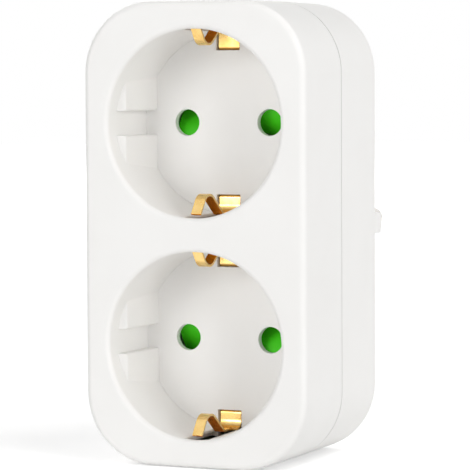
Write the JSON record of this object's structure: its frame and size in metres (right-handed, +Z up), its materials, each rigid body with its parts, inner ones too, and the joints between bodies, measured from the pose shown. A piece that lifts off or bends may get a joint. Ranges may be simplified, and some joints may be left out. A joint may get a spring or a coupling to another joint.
{
  "type": "two-way socket adapter",
  "caption": "White upright plug-in adapter with round socket wells on the front, brass earth clips, green turning shutters and an earthed round-pin plug on the back.",
  "frame": {"origin": "on the surface that the adapter stands on, under the middle of its box", "axes": "+Z up along the row of wells, the wells open towards -Y, the plug points along +Y, +X to the right seen from the front"},
  "size_m": [0.05, 0.0794, 0.0963],
  "materials": {
    "cover_plastic": "satin white moulded plastic",
    "carrier_plastic": "natural white moulded plastic",
    "shutter_plastic": "bright green moulded plastic",
    "brass": "bright rolled brass",
    "plated_brass": "nickel plated brass",
    "steel": "zinc plated steel"
  },
  "bodies": {
    "housing": {"front_cover": "cover_plastic", "rear_cover": "cover_plastic", "contact_carrier": "carrier_plastic", "upper_shutter_spring": "steel", "lower_shutter_spring": "steel", "live_bar": "brass", "neutral_bar": "brass", "live_pin": "plated_brass", "neutral_pin": "plated_brass", "upper_earth_strap": "brass", "lower_earth_strap": "brass", "plug_earth_bracket": "brass", "upper_earth_rivet": "brass", "lower_earth_rivet": "brass", "lower_left_screw": "steel", "upper_left_screw": "steel", "lower_right_screw": "steel", "upper_right_screw": "steel"},
    "upper_rotor": {"upper_shutter": "shutter_plastic"},
    "lower_rotor": {"lower_shutter": "shutter_plastic"}
  },
  "joints": [
    {"name": "upper_shutter_turn", "type": "hinge", "parent": "housing", "child": "upper_rotor", "pos_m": [0, -0.0172, 0.071], "axis": [0, -1, 0], "range_deg": [0, 40], "stiffness_Nm_per_rad": 0.0008, "springref_deg": -28.65, "deforming": ["upper_shutter_spring"]},
    {"name": "lower_shutter_turn", "type": "hinge", "parent": "housing", "child": "lower_rotor", "pos_m": [0, -0.0172, 0.0253], "axis": [0, 1, 0], "range_deg": [0, 40], "stiffness_Nm_per_rad": 0.0008, "springref_deg": -28.65, "deforming": ["lower_shutter_spring"]}
  ]
}
